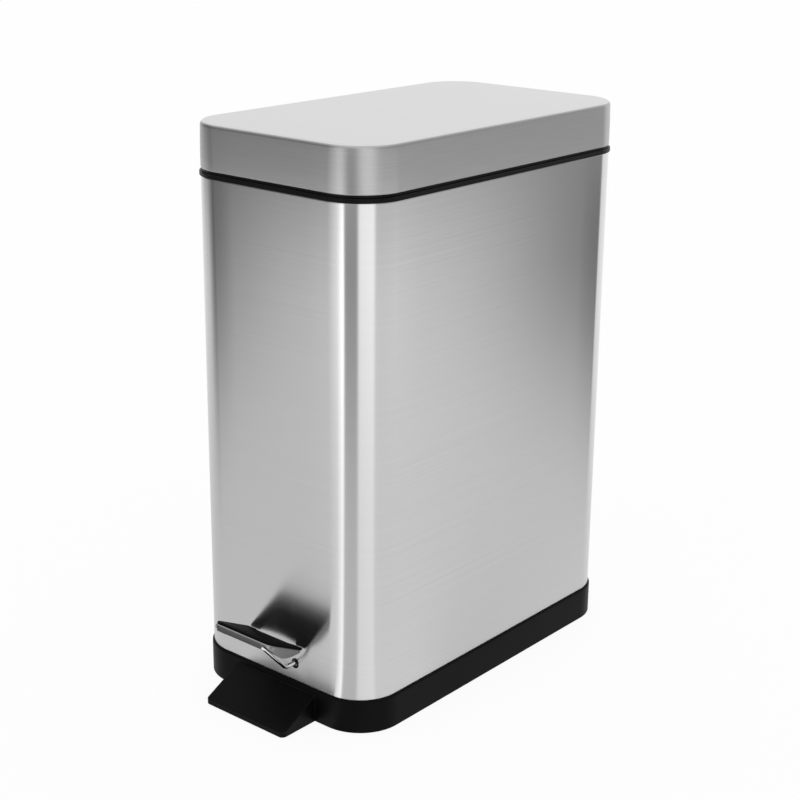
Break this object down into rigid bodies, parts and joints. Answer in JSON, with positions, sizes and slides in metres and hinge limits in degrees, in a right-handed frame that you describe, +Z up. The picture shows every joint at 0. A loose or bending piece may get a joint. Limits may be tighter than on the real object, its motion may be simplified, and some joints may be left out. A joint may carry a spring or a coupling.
{
  "type": "step-on waste bin",
  "caption": "Slim rectangular step-on waste bin: brushed steel sleeve and hinged lid, black rim and base, a pedal linkage that lifts the lid, and a lift-out bucket with a bail.",
  "frame": {"origin": "on the floor, under the middle of the box round the whole bin with its pedal and hinge", "axes": "+Z up, -Y to the front where the pedal is, +X to the right as seen from the front"},
  "size_m": [0.1656, 0.331, 0.4],
  "materials": {
    "brushed_sleeve": "brushed",
    "brushed_lid": "brushed",
    "step_plate_steel": "satin",
    "black_base_plastic": "matt",
    "black_rim_plastic": "matt",
    "black_liner_plastic": "matt",
    "tread_rubber": "matt",
    "foot_rubber": "matt",
    "bush_plastic": "matt",
    "bucket_plastic": "satin",
    "bright_wire": "polished",
    "link_steel": "zinc plated",
    "link_plastic": "matt"
  },
  "bodies": {
    "bin_body": {"body_sleeve": "brushed_sleeve", "base_moulding": "black_base_plastic", "base_feet": "foot_rubber", "base_rivets": "link_steel", "top_collar": "black_rim_plastic", "collar_rivets": "link_steel", "hinge_pin": "link_steel", "bell_crank_axle": "link_steel", "pedal_bush": "bush_plastic"},
    "pedal": {"pedal_arm": "bright_wire", "pedal_axle": "link_steel", "pedal_crank": "link_steel", "pedal_crank_pin": "link_steel", "pedal_plate": "step_plate_steel", "pedal_tread": "tread_rubber"},
    "drive_bar": {"drive_bar": "link_steel"},
    "bell_crank": {"bell_crank": "link_steel", "bell_crank_pin": "link_steel"},
    "push_rod": {"push_rod": "link_steel", "push_rod_head": "link_plastic", "push_rod_clip": "link_steel"},
    "lid": {"lid_shell": "brushed_lid", "lid_liner": "black_liner_plastic", "lid_crank": "link_steel", "lid_crank_pin": "link_steel", "lid_crank_screws": "link_steel", "lid_buffers": "foot_rubber"},
    "bucket": {"inner_bucket": "bucket_plastic"},
    "bucket_handle": {"bucket_handle": "bright_wire"}
  },
  "joints": [
    {"name": "lid_hinge", "type": "hinge", "parent": "bin_body", "child": "lid", "pos_m": [0, 0.16099, 0.3663], "axis": [-1, 0, 0], "range_deg": [0, 78]},
    {"name": "pedal_pivot", "type": "hinge", "parent": "bin_body", "child": "pedal", "pos_m": [0, -0.12661, 0.0349], "axis": [1, 0, 0], "range_deg": [0, 29.4]},
    {"name": "drive_bar_slide", "type": "slide", "parent": "bin_body", "child": "drive_bar", "axis": [0, 1, 0], "range_m": [0, 0.00843]},
    {"name": "bell_crank_pivot", "type": "hinge", "parent": "bin_body", "child": "bell_crank", "pos_m": [0, 0.10832, 0.03149], "axis": [1, 0, 0], "range_deg": [0, 37.83]},
    {"name": "push_rod_lift", "type": "slide", "parent": "bin_body", "child": "push_rod", "axis": [0, 0, 1], "range_m": [0, 0.02433]},
    {"name": "bucket_lift", "type": "slide", "parent": "bin_body", "child": "bucket", "axis": [0, 0, 1], "range_m": [0, 0.015]},
    {"name": "bail_swing", "type": "hinge", "parent": "bucket", "child": "bucket_handle", "pos_m": [0, 0.00479, 0.34885], "axis": [-1, 0, 0], "range_deg": [0, 12]}
  ],
  "couplings": [
    {"joint": "pedal_pivot", "follows": "lid_hinge", "ratio": 0.37692},
    {"joint": "drive_bar_slide", "follows": "lid_hinge", "m_per_rad": 0.00619},
    {"joint": "bell_crank_pivot", "follows": "lid_hinge", "ratio": 0.48496},
    {"joint": "push_rod_lift", "follows": "lid_hinge", "m_per_rad": 0.017869}
  ]
}
